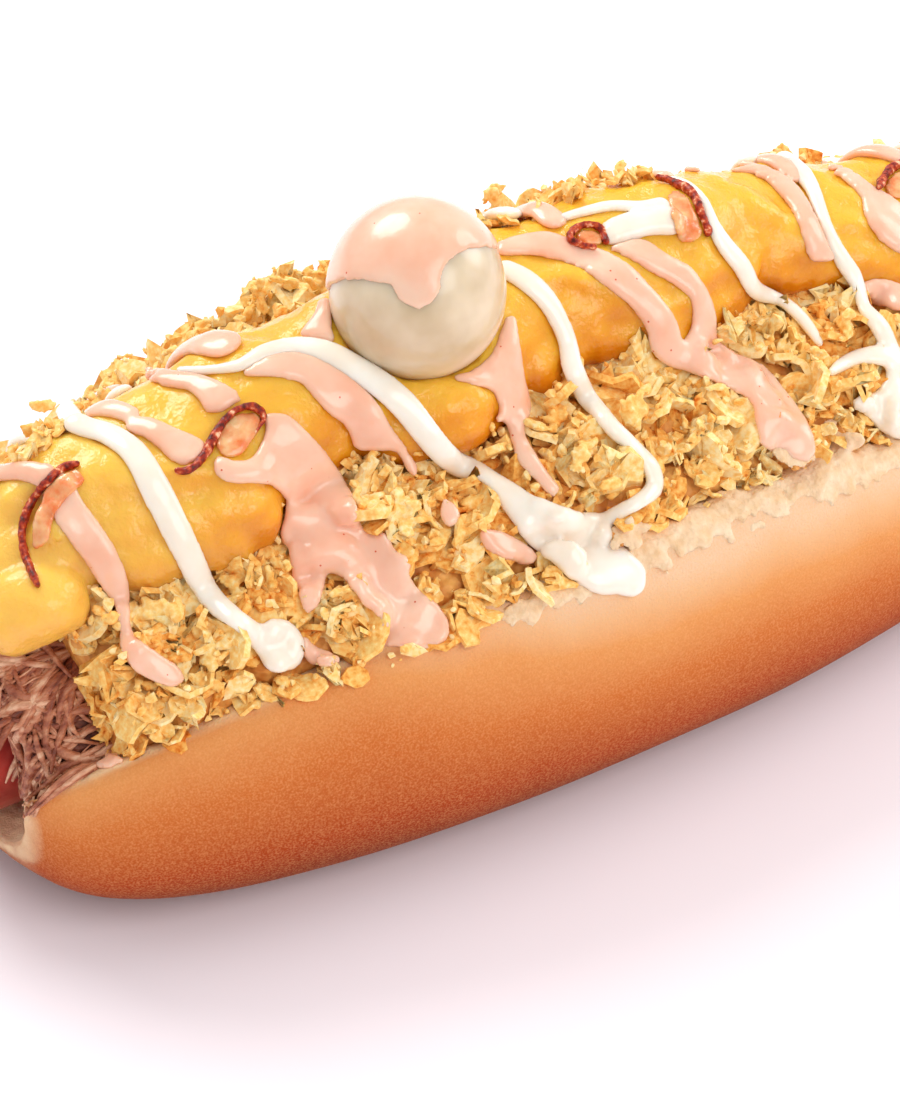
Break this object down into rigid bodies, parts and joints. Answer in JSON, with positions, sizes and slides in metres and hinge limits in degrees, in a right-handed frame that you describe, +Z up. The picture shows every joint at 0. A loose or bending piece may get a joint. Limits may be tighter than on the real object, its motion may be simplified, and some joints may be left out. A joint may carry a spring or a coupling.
{
  "type": "hot dog",
  "caption": "Loaded hot dog: a long split bun with a sausage, shredded beef, crushed potato chips, a pineapple sauce ridge, a quail egg, bacon curls and drizzled sauces.",
  "frame": {"origin": "middle of the bun's flat underside, on the surface that the hot dog rests on", "axes": "+X runs along the bun, -Y faces the side that the picture shows, +Z is up"},
  "size_m": [0.1912, 0.0876, 0.0844],
  "materials": {
    "bun": "soft baked crust, golden brown below and pale cream at the split lips",
    "sausage": "smooth glossy red sausage skin",
    "beef": "moist stringy brown meat",
    "chips": "dry crumpled pale yellow flakes, golden brown in the gaps",
    "pineapple": "wet glossy translucent yellow",
    "egg": "smooth moist cream white, with a glossy pink sauce cap",
    "bacon": "glossy fried strip, dark red at its rind and orange inside"
  },
  "bodies": {
    "root": {"bun": "bun", "sausage": "sausage", "shredded_beef": "beef", "crushed_chips": "chips", "pineapple_sauce": "pineapple", "quail_egg": "egg", "bacon_1": "bacon", "bacon_2": "bacon", "bacon_3": "bacon", "bacon_4": "bacon", "bacon_5": "bacon"}
  },
  "joints": []
}
